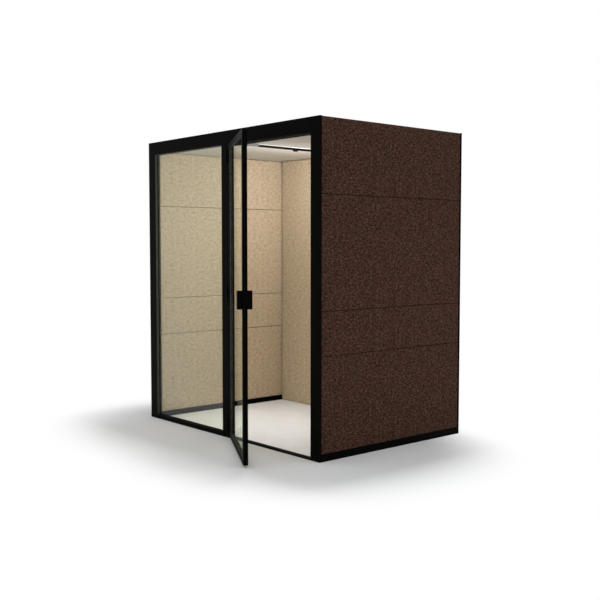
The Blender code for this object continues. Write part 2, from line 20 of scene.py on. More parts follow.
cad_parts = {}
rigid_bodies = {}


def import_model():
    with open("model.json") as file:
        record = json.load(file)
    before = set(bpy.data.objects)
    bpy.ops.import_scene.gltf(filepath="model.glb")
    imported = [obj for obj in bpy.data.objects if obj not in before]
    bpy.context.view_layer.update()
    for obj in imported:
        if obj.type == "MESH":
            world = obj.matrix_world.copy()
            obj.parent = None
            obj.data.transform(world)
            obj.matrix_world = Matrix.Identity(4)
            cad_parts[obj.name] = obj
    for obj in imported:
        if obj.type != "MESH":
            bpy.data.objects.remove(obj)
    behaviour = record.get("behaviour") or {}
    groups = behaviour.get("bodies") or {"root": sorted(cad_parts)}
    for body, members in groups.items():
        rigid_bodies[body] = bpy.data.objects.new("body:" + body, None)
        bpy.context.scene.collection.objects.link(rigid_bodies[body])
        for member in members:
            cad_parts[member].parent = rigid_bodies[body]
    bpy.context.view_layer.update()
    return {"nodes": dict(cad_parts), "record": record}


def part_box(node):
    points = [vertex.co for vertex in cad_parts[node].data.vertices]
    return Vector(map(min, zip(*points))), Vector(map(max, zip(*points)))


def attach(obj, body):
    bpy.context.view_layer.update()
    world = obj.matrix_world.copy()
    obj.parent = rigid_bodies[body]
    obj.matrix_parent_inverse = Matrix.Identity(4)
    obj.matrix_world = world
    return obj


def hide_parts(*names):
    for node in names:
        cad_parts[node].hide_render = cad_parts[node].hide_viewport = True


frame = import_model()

scene = bpy.context.scene
scene.view_settings.view_transform = "Standard"

# %% [markdown]
# ## The camera
#
# The photograph was taken from just below eye height, off the booth's front right corner. Its lens and
# place were found by fitting a pinhole camera to the booth's outer corners. It can be set with two angles,
# because the horizon is level: a small tilt down, and a turn about the upright axis.

# %% Camera
SENSOR_WIDTH = 36.0
LENS = 53.35
EYE = (5.1927, -4.4406, 1.3850)
TILT_DOWN = 3.490
TURN = 49.324

camera_lens = bpy.data.cameras.new("camera")
camera_lens.sensor_width = SENSOR_WIDTH
camera_lens.lens = LENS
camera = bpy.data.objects.new("camera", camera_lens)
camera.location = EYE
camera.rotation_euler = (math.radians(90.0 - TILT_DOWN), 0.0, math.radians(TURN))
scene.collection.objects.link(camera)
scene.camera = camera
print("camera at", EYE, "with a lens of", LENS, "mm")

# %% [markdown]
# ## A helper for node trees
#
# Materials and Geometry Nodes are both trees of nodes. Adding a node, setting its options and joining its
# sockets takes many lines in plain Python, so one small class does it. An input is given either a constant
# or the output socket of another node. A noise runs from 0 to 1, but mostly keeps to a narrower range, so
# that range is what gets spread over the values that a finish needs.

# %% Node helper
NOISE_RANGE = (0.3, 0.7)


class Wiring:
    """Adds nodes to one tree and joins them as they are made."""

    def __init__(self, tree):
        self.tree = tree
        tree.nodes.clear()

    def add(self, kind, inputs=None, **options):
        node = self.tree.nodes.new(kind)
        for option, value in options.items():
            setattr(node, option, value)
        for socket, value in (inputs or {}).items():
            if isinstance(value, bpy.types.NodeSocket):
                self.tree.links.new(value, node.inputs[socket])
            else:
                node.inputs[socket].default_value = value
        return node

    def math(self, operation, first, second=0.0):
        return self.add("ShaderNodeMath", {0: first, 1: second}, operation=operation).outputs[0]

    def vector(self, operation, first, second=(0.0, 0.0, 0.0), result="Vector"):
        node = self.add("ShaderNodeVectorMath", {0: first, 1: second}, operation=operation)
        return node.outputs[result]

    def blend(self, factor, first, second):
        mix = self.add("ShaderNodeMix", {"Factor": factor, 2: first, 3: second}, data_type="FLOAT")
        return mix.outputs[0]

    def tint(self, factor, first, second):
        mix = self.add("ShaderNodeMix", {"Factor": factor, 6: first, 7: second}, data_type="RGBA")
        return mix.outputs[2]

    def noise(self, place, scale, detail, **options):
        inputs = {"Vector": place, "Scale": scale, "Detail": detail}
        return self.add("ShaderNodeTexNoise", inputs, **options).outputs[0]

    def flat_noise(self, place, scale, detail):
        return self.noise(place, scale, detail, noise_dimensions="2D")

    def ramp(self, value, stops, colours):
        node = self.add("ShaderNodeValToRGB", {"Fac": value})
        elements = node.color_ramp.elements
        while len(elements) < len(stops):
            elements.new(1.0)
        for element, place, colour in zip(elements, stops, colours):
            element.position = place
            element.color = (*colour, 1.0)
        return node.outputs["Color"]

    def stretch(self, value, low, high, to_low, to_high, **options):
        inputs = {"Value": value, "From Min": low, "From Max": high, "To Min": to_low, "To Max": to_high}
        return self.add("ShaderNodeMapRange", inputs, **options).outputs["Result"]

    def spread(self, noise, to_low, to_high):
        return self.stretch(noise, *NOISE_RANGE, to_low, to_high)

    def bump(self, height, strength, distance):
        inputs = {"Height": height, "Strength": strength, "Distance": distance}
        return self.add("ShaderNodeBump", inputs).outputs["Normal"]

    def surface(self, inputs):
        shader = self.add("ShaderNodeBsdfPrincipled", inputs)
        self.add("ShaderNodeOutputMaterial", {"Surface": shader.outputs[0]})


finishes = {}


def new_finish(name):
    """An empty node material, kept by the name of the slot that it dresses."""
    material = bpy.data.materials.new(name)
    material.use_nodes = True
    finishes[name] = material
    return Wiring(material.node_tree)


print("node helper ready")

# %% [markdown]
# ## The studio
#
# The booth stands on a white sweep under one soft overhead lamp. A lamp above a tall object throws a short,
# blurred shadow out over the floor on every side, which is what the photograph shows. The rest of the light
# comes evenly from a white dome, the world.
#
# The sweep is a plain diffuse floor, so it keeps the shadow. In the photograph the shadow stays close to
# the booth, and the floor beyond it is white. Brighter lamps could make it white, but they would bleach the
# booth too. So the floor turns to plain white outside an ellipse round the booth, for the camera and for
# mirror and glass rays only. All other rays still meet an ordinary pale floor, and no extra light is thrown
# at the booth.

# %% World and floor
DOME = 0.76
WHITE = (1.0, 1.0, 1.0, 1.0)
SWEEP_PAINT = (0.84, 0.85, 0.86, 1.0)
SWEEP_HALF = 40.0
SWEEP_DROP = 0.0004
SHADOW_CENTRE = (0.18, -0.46, 0.0)
SHADOW_REACH = (1.70, 1.22, 1.0)
SHADOW_FADE = 0.24


def seen_directly(wiring):
    """1 for rays from the camera, and for the mirror and glass rays that also show the background."""
    path = wiring.add("ShaderNodeLightPath").outputs
    mirrored = wiring.math("MAXIMUM", path["Is Glossy Ray"], path["Is Transmission Ray"])
    return wiring.math("MAXIMUM", path["Is Camera Ray"], mirrored)


world = bpy.data.worlds.new("studio")
world.use_nodes = True
scene.world = world
sky = Wiring(world.node_tree)
brightness = sky.blend(seen_directly(sky), DOME, 1.0)
dome = sky.add("ShaderNodeBackground", {"Color": WHITE, "Strength": brightness})
sky.add("ShaderNodeOutputWorld", {"Surface": dome.outputs[0]})

ground = new_finish("white_sweep")
ground_place = ground.add("ShaderNodeTexCoord").outputs["Object"]
from_centre = ground.vector("SUBTRACT", ground_place, SHADOW_CENTRE)
ellipse = ground.vector("LENGTH", ground.vector("DIVIDE", from_centre, SHADOW_REACH), result="Value")
beyond = ground.stretch(ellipse, 1.0 - SHADOW_FADE, 1.0 + SHADOW_FADE, 0.0, 1.0,
                        interpolation_type="SMOOTHSTEP")
whitened = ground.math("MULTIPLY", beyond, seen_directly(ground))
plain_paint = ground.add("ShaderNodeBsdfDiffuse", {"Color": SWEEP_PAINT}).outputs[0]
plain_white = ground.add("ShaderNodeEmission", {"Color": WHITE, "Strength": 1.0}).outputs[0]
ground_mix = ground.add("ShaderNodeMixShader", {0: whitened, 1: plain_paint, 2: plain_white})
ground.add("ShaderNodeOutputMaterial", {"Surface": ground_mix.outputs[0]})

sweep_mesh = bpy.data.meshes.new("sweep")
sweep_corners = [(SWEEP_HALF * x, SWEEP_HALF * y, -SWEEP_DROP)
                 for x, y in ((-1, -1), (1, -1), (1, 1), (-1, 1))]
sweep_mesh.from_pydata(sweep_corners, [], [(0, 1, 2, 3)])
sweep_mesh.materials.append(finishes["white_sweep"])
sweep = bpy.data.objects.new("sweep", sweep_mesh)
scene.collection.objects.link(sweep)
print("dome", DOME, "sweep", 2 * SWEEP_HALF, "m wide")

# %% [markdown]
# ## The lamps
#
# One lamp hangs over the booth. The booth's own light is a slim tube over a black bar, so it shines up and
# sideways, and the ceiling and the walls pass the light on. The tube could light the room by itself, but so
# small a source leaves a lot of noise. Hidden soft lamps under the ceiling, one for each way that the tube
# shines, give the same glow cleanly.
#
# Light linking says what a lamp lights. The room's lamps all spare the sweep, which the photograph shows in
# plain shadow. Those that face a wall also spare the ceiling, and those for the side walls will spare the
# back wall's cover, so that each surface gets its own level.


# %% Lamps
def spare(linking, thing):
    """Keeps the lamps that use a light linking collection off one thing."""
    linking.objects.link(thing)
    linking.collection_objects[len(linking.objects) - 1].light_linking.link_state = "EXCLUDE"


room_light = bpy.data.collections.new("room_light")
back_light = bpy.data.collections.new("back_light")
side_light = bpy.data.collections.new("side_light")
for linking in (room_light, back_light, side_light):
    spare(linking, sweep)
for linking in (back_light, side_light):
    spare(linking, frame["nodes"]["ceiling_panel"])


def soft_lamp(name, place, toward, size, power, beam, colour, lights):
    """A rectangular lamp that looks one way, with a wide or narrow beam, hidden from the camera."""
    data = bpy.data.lights.new(name, "AREA")
    data.shape = "RECTANGLE"
    data.size, data.size_y = size
    data.energy = power
    data.spread = math.radians(beam)
    data.color = colour
    lamp = bpy.data.objects.new(name, data)
    lamp.location = place
    lamp.rotation_euler = Vector(toward).to_track_quat("-Z", "Y").to_euler()
    lamp.visible_camera = False
    scene.collection.objects.link(lamp)
    if lights:
        lamp.light_linking.receiver_collection = lights


# %% [markdown]
# The table of lamps gives each one's name, place, direction, size across and along, watts, beam in degrees,
# colour, and what it lights. The lamps that stand for the tube are as long as the tube.

# %% Hang the lamps
tube_low, tube_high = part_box("light_diffuser")
tube_y = (tube_low.y + tube_high.y) / 2
tube_length = tube_high.y - tube_low.y
NEUTRAL = (1.0, 1.0, 1.0)
WARM = (1.0, 0.965, 0.92)
COOL = (0.92, 0.97, 1.0)
DOWN = (0, 0, -1)
UPWARD = (0, 0, 1)
TO_LEFT = (-1, 0, 0)
TO_RIGHT = (1, 0, 0)
TO_BACK = (0, 1, 0)
LAMPS = (
    ("overhead", (0.0, 0.36, 5.2), DOWN, (0.9, 0.9), 200.0, 180.0, NEUTRAL, None),
    ("room_down", (0.0, tube_y, 2.04), DOWN, (0.5, tube_length), 1.6, 180.0, WARM, room_light),
    ("room_pool", (-0.12, tube_y - 0.2, 2.05), DOWN, (1.2, tube_length), 4.2, 70.0, WARM, room_light),
    ("room_left", (0.55, 0.02, 1.88), TO_LEFT, (0.6, 0.2), 6.2, 130.0, COOL, side_light),
    ("room_right", (-0.55, 0.02, 1.88), TO_RIGHT, (0.6, 0.2), 0.6, 130.0, COOL, side_light),
    ("room_back", (0.0, -0.3, 1.92), TO_BACK, (1.2, 0.2), 4.5, 130.0, COOL, back_light),
    ("room_up", (-0.12, tube_y, 1.86), UPWARD, (0.1, tube_length), 0.98, 180.0, WARM, room_light),
    ("bar_glow", (-0.03, tube_y, 2.02), UPWARD, (0.05, tube_length), 0.09, 180.0, WARM, room_light),
)
for lamp_row in LAMPS:
    soft_lamp(*lamp_row)
print("lamps:", [lamp_row[0] for lamp_row in LAMPS])

# %% [markdown]
# ## Black powder coat
#
# The frame, the door, the plinths and the roof are metal with a satin black powder coat. Close up, such a
# coat has the fine dimples called orange peel, it is a little uneven in gloss, and it is thinner and greyer
# where a corner has been rubbed. The Bevel node finds the corners: it rounds the normal near an edge, and
# where the rounded and the true normal disagree there is an edge.

# %% Black coat
RUB_RADIUS = 0.0022
RUB_START = 0.985
RUB_FULL = 0.82
RUB_PATCHES = (0.42, 0.68)
RUBS_PER_METRE = 23.0
CLOUDS_PER_METRE = 4.5
CLOUD_DEPTH = 0.14
DIMPLES_PER_METRE = 620.0
DIMPLE_DEPTH = 0.00025


def edge_rub(wiring, place):
    """0 on flat faces, up to 1 on rubbed edges, broken up by noise."""
    rounded = wiring.add("ShaderNodeBevel", {"Radius": RUB_RADIUS}, samples=4).outputs["Normal"]
    true = wiring.add("ShaderNodeNewGeometry").outputs["Normal"]
    agree = wiring.vector("DOT_PRODUCT", rounded, true, result="Value")
    edge = wiring.stretch(agree, RUB_START, RUB_FULL, 0.0, 1.0)
    patches = wiring.stretch(wiring.noise(place, RUBS_PER_METRE, 5.0), *RUB_PATCHES, 0.0, 1.0)
    return wiring.math("MULTIPLY", edge, patches)


def coat_finish(name, colour, rubbed, rough, specular):
    """A coat of paint: its colour, the colour of its rubbed edges, and its least and most roughness."""
    coat = new_finish(name)
    place = coat.add("ShaderNodeTexCoord").outputs["Object"]
    cloud = coat.noise(place, CLOUDS_PER_METRE, 5.0)
    peel = coat.noise(place, DIMPLES_PER_METRE, 1.5)
    darker = [(1.0 - CLOUD_DEPTH) * part for part in colour]
    lighter = [(1.0 + CLOUD_DEPTH) * part for part in colour]
    shade = coat.ramp(cloud, NOISE_RANGE, (darker, lighter))
    coat.surface({
        "Base Color": coat.tint(edge_rub(coat, place), shade, (*rubbed, 1.0)),
        "Roughness": coat.spread(cloud, *rough),
        "Specular IOR Level": specular,
        "Normal": coat.bump(peel, 0.12, DIMPLE_DEPTH),
    })


coat_finish("black_coat", (0.0014, 0.0013, 0.0012), (0.0075, 0.0070, 0.0064), rough=(0.46, 0.52),
            specular=0.02)
print("finish: black_coat")

# %% [markdown]
# ## Wool cloth: the weave
#
# Both fabrics are a plain weave of thick, mottled wool yarn. The yarns could be real geometry, but there
# are over a million crossings, so a shader draws them. Each cover has its own UV map in metres. Dividing it
# by the yarn pitch and taking the whole part gives a number for every warp and weft yarn. Where the sum of
# the two is odd, the warp lies on top, and elsewhere the weft does. A yarn's back is round, and it dips
# where it goes under the next one.

# %% Yarns
YARN_DIP = 0.45
WARP_STRIDE = 7.31
WEFT_STRIDE = 9.17


def yarn_humps(wool, across, along, over):
    """The height of the yarn on top, from 0 in the gaps to 1 on its back."""
    warp_arc = wool.math("SINE", wool.math("MULTIPLY", wool.math("FRACT", across), math.pi))
    weft_arc = wool.math("SINE", wool.math("MULTIPLY", wool.math("FRACT", along), math.pi))
    warp_hump = wool.math("MULTIPLY", warp_arc, wool.stretch(weft_arc, 0.0, 1.0, YARN_DIP, 1.0))
    weft_hump = wool.math("MULTIPLY", weft_arc, wool.stretch(warp_arc, 0.0, 1.0, YARN_DIP, 1.0))
    return wool.blend(over, weft_hump, warp_hump)


def yarn_tones(wool, split, warp, weft, over, slub):
    """The tone of the yarn on top. The strides put neighbouring yarns far apart in the noise."""
    warp_line = wool.math("MULTIPLY", warp, WARP_STRIDE)
    weft_line = wool.math("MULTIPLY", weft, WEFT_STRIDE)
    warp_run = wool.math("DIVIDE", split["Y"], slub)
    weft_run = wool.math("DIVIDE", split["X"], slub)
    warp_spin = wool.add("ShaderNodeCombineXYZ", {"X": warp_line, "Y": warp_run}).outputs[0]
    weft_spin = wool.add("ShaderNodeCombineXYZ", {"X": weft_run, "Y": weft_line}).outputs[0]
    return wool.blend(over, wool.flat_noise(weft_spin, 1.0, 1.0), wool.flat_noise(warp_spin, 1.0, 1.0))


print("yarn helpers ready")

# %% [markdown]
# ## Wool cloth: the colour
#
# Every yarn takes its tone from a noise that is stretched along it, which is how mottled yarn is spun. From
# a few metres the single yarns blur, and what the eye sees are flecks a few yarns across, wider than high,
# so a second noise adds these. Slow patches of light and dark lie over both, and the dye leans to red in
# some places and to grey in others. The colour is also darkened in the gaps between the yarns, as painted
# shade, and the yarns and some fluff go into the bump.

# %% Wool
PATCH_SIZE = 0.07
PATCH_DEPTH = 0.014
HUE_SIZE = 0.042
GREEN_LEAN = 0.4
SHADE_STOPS = (0.33, 0.5, 0.67)
TUFTS_PER_YARN = 2.4
FLUFF_SHARE = 0.5
# Painted shade in the gaps between the yarns: the yarn height below which it darkens, and how dark it gets.
GAP_HEIGHT = 0.55
GAP_PAINTED_SHADE = 0.62


def wool_finish(name, pitch, slub, fleck, fleck_share, shades, lean, sheen, relief):
    """A weave with one yarn per pitch. slub and fleck are sizes of mottling, lean is the dye's drift."""
    wool = new_finish(name)
    thread = wool.add("ShaderNodeUVMap", uv_map="weave").outputs["UV"]
    split = wool.add("ShaderNodeSeparateXYZ", {"Vector": thread}).outputs
    across = wool.math("DIVIDE", split["X"], pitch)
    along = wool.math("DIVIDE", split["Y"], pitch)
    warp = wool.math("FLOOR", across)
    weft = wool.math("FLOOR", along)
    over = wool.math("FLOORED_MODULO", wool.math("ADD", warp, weft), 2.0)
    hump = yarn_humps(wool, across, along, over)

    yarn = yarn_tones(wool, split, warp, weft, over, slub)
    flecks = wool.flat_noise(wool.vector("DIVIDE", thread, (*fleck, 1.0)), 1.0, 1.0)
    patch = wool.flat_noise(thread, 1.0 / PATCH_SIZE, 2.0)
    tone = wool.blend(fleck_share, yarn, flecks)
    tone = wool.math("ADD", tone, wool.spread(patch, -PATCH_DEPTH, PATCH_DEPTH))
    hue = wool.spread(wool.flat_noise(thread, 1.0 / HUE_SIZE, 1.0), 0.0, 1.0)
    greyer = (1.0 - lean, 1.0 + GREEN_LEAN * lean, 1.0 + lean, 1.0)
    redder = (1.0 + lean, 1.0 - GREEN_LEAN * lean, 1.0 - lean, 1.0)
    dyed = wool.vector("MULTIPLY", wool.ramp(tone, SHADE_STOPS, shades), wool.tint(hue, greyer, redder))
    # Painted shade: the colour darkens where the yarn sinks into a gap between yarns.
    gaps = wool.stretch(hump, 0.0, GAP_HEIGHT, GAP_PAINTED_SHADE, 1.0)

    fluff = wool.flat_noise(thread, TUFTS_PER_YARN / pitch, 3.0)
    height = wool.math("ADD", hump, wool.math("MULTIPLY", fluff, FLUFF_SHARE))
    wool.surface({
        "Base Color": wool.vector("MULTIPLY", dyed, gaps),
        "Roughness": wool.spread(fluff, 0.82, 0.98),
        "Specular IOR Level": 0.06,
        "Sheen Weight": sheen,
        "Sheen Roughness": 0.45,
        "Normal": wool.bump(height, 0.55, relief),
    })


wool_finish("brown_fabric", pitch=0.0034, slub=0.018, fleck=(0.0205, 0.0130), fleck_share=0.38,
            shades=((0.0200, 0.0070, 0.0043), (0.060, 0.028, 0.0185), (0.132, 0.0735, 0.0505)),
            lean=0.06, sheen=0.0, relief=0.0011)
wool_finish("cream_fabric", pitch=0.0030, slub=0.018, fleck=(0.0300, 0.0195), fleck_share=0.39,
            shades=((0.48, 0.368, 0.245), (0.615, 0.482, 0.336), (0.735, 0.587, 0.421)),
            lean=0.014, sheen=0.05, relief=0.0008)
print("finishes: brown_fabric, cream_fabric")

# %% [markdown]
# ## Glass
#
# The panes are laminated glass with a faint warm green cast. Real refraction in a thin flat pane moves the
# picture behind it by less than a pixel, so each face is a clear tinted shader mixed with a mirror. The
# mirror's share grows towards a grazing view as on real glass, but it is held low, because a pane that is
# seen almost edge on stays clear in the photograph. Wiping leaves faint smears, which go into the mirror's
# roughness.

# %% Glass
GRAZING_POWER = 5.0
SMEARS_PER_METRE = 3.0
SMEAR_RANGE = (0.35, 0.7)


def glass_finish(name, cast, head_on, most):
    """Clear glass: its colour cast, and the mirror's share when seen head on and at most."""
    glass = new_finish(name)
    place = glass.add("ShaderNodeTexCoord").outputs["Object"]
    facing = glass.add("ShaderNodeLayerWeight", {"Blend": 0.5}).outputs["Facing"]
    grazing = glass.math("POWER", facing, GRAZING_POWER)
    share = glass.math("MINIMUM", glass.stretch(grazing, 0.0, 1.0, head_on, 1.0), most)
    smear = glass.stretch(glass.noise(place, SMEARS_PER_METRE, 6.0), *SMEAR_RANGE, 0.004, 0.05)
    mirror = glass.add("ShaderNodeBsdfGlossy", {"Color": WHITE, "Roughness": smear}).outputs[0]
    clear = glass.add("ShaderNodeBsdfTransparent", {"Color": (*cast, 1.0)}).outputs[0]
    pane = glass.add("ShaderNodeMixShader", {0: share, 1: clear, 2: mirror})
    glass.add("ShaderNodeOutputMaterial", {"Surface": pane.outputs[0]})


glass_finish("clear_glass", (0.938, 0.960, 0.922), head_on=0.026, most=0.10)
print("finish: clear_glass")

# %% [markdown]
# ## Floor, ceiling and board
#
# The floor covering is a pale sheet with a satin surface and faint clouds. The ceiling is matt paint, laid
# on with a roller, which leaves a fine stipple. The board inside the walls is flecked like pressed wood
# fibre, and coloured dark, because it shows only in the seams between the covers, where its dark colour is
# painted shade. One function makes all three from clouds and grain.

# %% Sheet finishes
GRAIN_SHARE = 0.4
SHEET_STOPS = (0.32, 0.68)


def sheet_finish(name, colour, cloud_size, cloud_depth, grain_size, relief, rough, specular):
    """A plain sheet with clouds so large and deep, and a fine grain that also gives its roughness."""
    sheet = new_finish(name)
    place = sheet.add("ShaderNodeTexCoord").outputs["Object"]
    cloud = sheet.noise(place, 1.0 / cloud_size, 5.0)
    grain = sheet.noise(place, 1.0 / grain_size, 3.0)
    tone = sheet.blend(GRAIN_SHARE, cloud, grain)
    darker = [(1.0 - cloud_depth) * part for part in colour]
    lighter = [min(1.0, (1.0 + cloud_depth) * part) for part in colour]
    sheet.surface({
        "Base Color": sheet.ramp(tone, SHEET_STOPS, (darker, lighter)),
        "Roughness": sheet.spread(grain, *rough),
        "Specular IOR Level": specular,
        "Normal": sheet.bump(grain, 0.3, relief),
    })


sheet_finish("pale_floor", (0.83, 0.85, 0.885), cloud_size=0.14, cloud_depth=0.05, grain_size=0.004,
             relief=0.0002, rough=(0.42, 0.56), specular=0.3)
sheet_finish("ceiling_white", (0.71, 0.69, 0.665), cloud_size=0.30, cloud_depth=0.03, grain_size=0.003,
             relief=0.0004, rough=(0.72, 0.88), specular=0.2)
# The board's dark colour is painted shade in the seams between the covers.
sheet_finish("board", (0.022, 0.016, 0.012), cloud_size=0.02, cloud_depth=0.22, grain_size=0.0016,
             relief=0.0004, rough=(0.80, 0.95), specular=0.1)
print("finishes: pale_floor, ceiling_white, board")

# %% [markdown]
# ## Plastics, rubber and the light tube
#
# The sensor, the fan and the roof vent are moulded black plastic with a spark-eroded texture: a fine, even
# grain. The light's driver case is grey, and the seals are dull rubber. The tube is opal plastic that glows
# a little unevenly along its length, as it does over a row of small diodes. Its glow is weak here, because
# the hidden lamps already give the light that it would throw.

# %% Plastics, rubber and opal
TUBE_GLOW = 0.3
OPALS_PER_METRE = 40.0

coat_finish("grey_case", (0.20, 0.19, 0.18), (0.30, 0.29, 0.28), rough=(0.45, 0.58), specular=0.30)
sheet_finish("black_plastic", (0.0055, 0.0055, 0.006), cloud_size=0.05, cloud_depth=0.12,
             grain_size=0.0007, relief=0.0002, rough=(0.50, 0.64), specular=0.08)
sheet_finish("black_rubber", (0.058, 0.056, 0.047), cloud_size=0.03, cloud_depth=0.20,
             grain_size=0.0012, relief=0.0002, rough=(0.60, 0.78), specular=0.20)

opal = new_finish("opal")
opal_cloud = opal.noise(opal.add("ShaderNodeTexCoord").outputs["Object"], OPALS_PER_METRE, 2.0)
opal.surface({
    "Base Color": opal.ramp(opal_cloud, NOISE_RANGE, ((0.86, 0.83, 0.77), (0.94, 0.91, 0.85))),
    "Roughness": opal.spread(opal_cloud, 0.40, 0.55),
    "Emission Color": opal.ramp(opal_cloud, NOISE_RANGE, ((1.0, 0.93, 0.82), (1.0, 0.96, 0.88))),
    "Emission Strength": TUBE_GLOW,
})
print("finishes: grey_case, black_plastic, black_rubber, opal")

# %% [markdown]
# ## Dressing the CAD nodes
#
# The record says which finish each solid takes. A CAD mesh is never changed, so the finish goes into the
# object's own material slot.

# %% Dress the nodes
node_slot = {part["node"]: part["material_slot"] for part in frame["record"]["subparts"]}
for node, slot_name in node_slot.items():
    for material_slot in frame["nodes"][node].material_slots:
        material_slot.link = "OBJECT"
        material_slot.material = finishes[slot_name]
print("dressed", len(node_slot), "nodes with", len(set(node_slot.values())), "finishes")

# %% [markdown]
# ## Padded covers: the tailoring
#
# Each wall carries upholstered panels: a board with foam on it and wool drawn over the foam and stapled
# behind. Such a pad has a flat back, sides that are pulled in a little between the corners, a soft round
# edge, and a face that is fuller in the middle.
#
# Every cloth has its own tailoring: how round a cover's edge is at its foot and at its head, and how far
# its sides and its ends are pulled in. Three covers have a tailoring of their own. The back wall's inner
# cover is rounder all round, and so are the heads of the top strips, because the photograph shows broad
# dark lines in the corner of the room and under its ceiling.

# %% Tailoring
TAILORING = {
    "brown_fabric": (0.0050, 0.0050, 0.0011, 0.0002),
    "cream_fabric": (0.0043, 0.0043, 0.0022, 0.0004),
    "left_inner_panel_top": (0.0043, 0.0130, 0.0022, 0.0004),
    "right_inner_panel_top": (0.0043, 0.0130, 0.0022, 0.0004),
    "back_inner_panel": (0.0125, 0.0150, 0.0060, 0.0025),
}
SWELL = 0.0022
EDGE_STEPS = (0.0, 0.0008, 0.0024, 0.006, 0.013, 0.028)
PULL_REACH = EDGE_STEPS[-1]
FACE_STEP = 0.046
TINY = 1e-9


def stations(length):
    """Places along a side: close together near both ends, evenly spread between."""
    start = EDGE_STEPS[-1]
    count = max(2, round((length - 2 * start) / FACE_STEP))
    middle = [start + (length - 2 * start) * step / count for step in range(1, count)]
    far = [length - step for step in reversed(EDGE_STEPS)]
    return np.array([*EDGE_STEPS, *middle, *far])


def bowed(share):
    """0 at both corners of a side, and close to 1 over most of its length."""
    return np.sqrt(np.sin(np.pi * np.clip(share, 0.0, 1.0)))


print("stations along 1.35 m:", len(stations(1.35)))

# %% [markdown]
# ## Padded covers: the cut
#
# A cover is built flat, in its own axes: u across, v up and w out of the wall. The grid is close at the
# border, where the edge turns, and wide in the middle, where little happens. The same grid is the back, at
# w = 0, and a belt of corners half way up joins the two into a closed bag.


# %% Cut a cover
def cover_face(u, v, width, height, thick, tailoring):
    """The grid's points with the round edge and the pulled-in sides."""
    foot_round, head_round, side_pull, end_pull = tailoring
    edge_round = foot_round + (head_round - foot_round) * v / height
    near_u = np.minimum(u, width - u)
    near_v = np.minimum(v, height - v)
    bow_u = edge_round - np.minimum(near_u, edge_round)
    bow_v = edge_round - np.minimum(near_v, edge_round)
    bow = np.hypot(bow_u, bow_v)
    spill = np.where(bow > edge_round, 1.0 - edge_round / np.maximum(bow, TINY), 0.0)
    u = u + np.where(u < width / 2, 1.0, -1.0) * bow_u * spill
    v = v + np.where(v < height / 2, 1.0, -1.0) * bow_v * spill
    drop = edge_round - np.sqrt(np.maximum(0.0, edge_round ** 2 - np.minimum(bow, edge_round) ** 2))
    pull_u = side_pull * bowed(v / height) * np.clip(1.0 - near_u / PULL_REACH, 0.0, 1.0)
    pull_v = end_pull * bowed(u / width) * np.clip(1.0 - near_v / PULL_REACH, 0.0, 1.0)
    u = u + np.where(u < width / 2, pull_u, -pull_u)
    v = v + np.where(v < height / 2, pull_v, -pull_v)
    return np.stack([u, v, thick - SWELL - drop], 1)


def cut_cover(width, height, thick, tailoring):
    """Corners (u, v, w) and faces of a closed pad, and the corners that are stapled to the board."""
    across, up = stations(width), stations(height)
    columns, rows = len(across), len(up)
    u, v = (axis.ravel() for axis in np.meshgrid(across, up))
    face = cover_face(u, v, width, height, thick, tailoring)
    half_way = face * (1.0, 1.0, 0.5)
    back = face * (1.0, 1.0, 0.0)

    index = np.arange(rows * columns).reshape(rows, columns)
    rim = [*index[0, :-1], *index[:-1, -1], *index[-1, :0:-1], *index[:0:-1, 0]]
    after = rim[1:] + rim[:1]
    size, edge = len(face), len(rim)
    belt = [size + step for step in range(edge)]
    belt_after = belt[1:] + belt[:1]
    lower = range(size + edge, size + edge + size)
    quads = np.stack([index[:-1, :-1], index[:-1, 1:], index[1:, 1:], index[1:, :-1]], -1)
    front = quads.reshape(-1, 4).tolist()
    faces = list(front)
    faces += [[lower[corner] for corner in reversed(item)] for item in front]
    faces += [list(item) for item in zip(rim, belt, belt_after, after)]
    faces += [[a, lower[b], lower[c], d] for a, b, c, d in zip(belt, rim, after, belt_after)]
    corners = np.concatenate([face, half_way[rim], back])
    return corners, [[int(corner) for corner in item] for item in faces], list(lower)


trial_cut = cut_cover(1.35, 0.75, 0.03, TAILORING["brown_fabric"])
print("a trial cut: corners, faces and stapled corners:", [len(items) for items in trial_cut])

# %% [markdown]
# ## Padded covers: the foam
#
# The foam under the wool presses on it evenly, which is what the Cloth modifier's pressure does in a closed
# mesh. Gravity is off, because the cover is glued to its foam. The stapled back is pinned. Cloth is free to
# swell a long way, while a tight cover is not, so the swelling is held back smoothly to a few millimetres:
# the shape of the bulge stays, and only its depth is limited. Sideways it is held back further, so that the
# seams between the covers stay even.

# %% Let the foam swell
PRESSURE = 4.0
PRESS_FRAMES = 20
TIGHTNESS = 3.0
SIDEWAYS_SHARE = 0.25


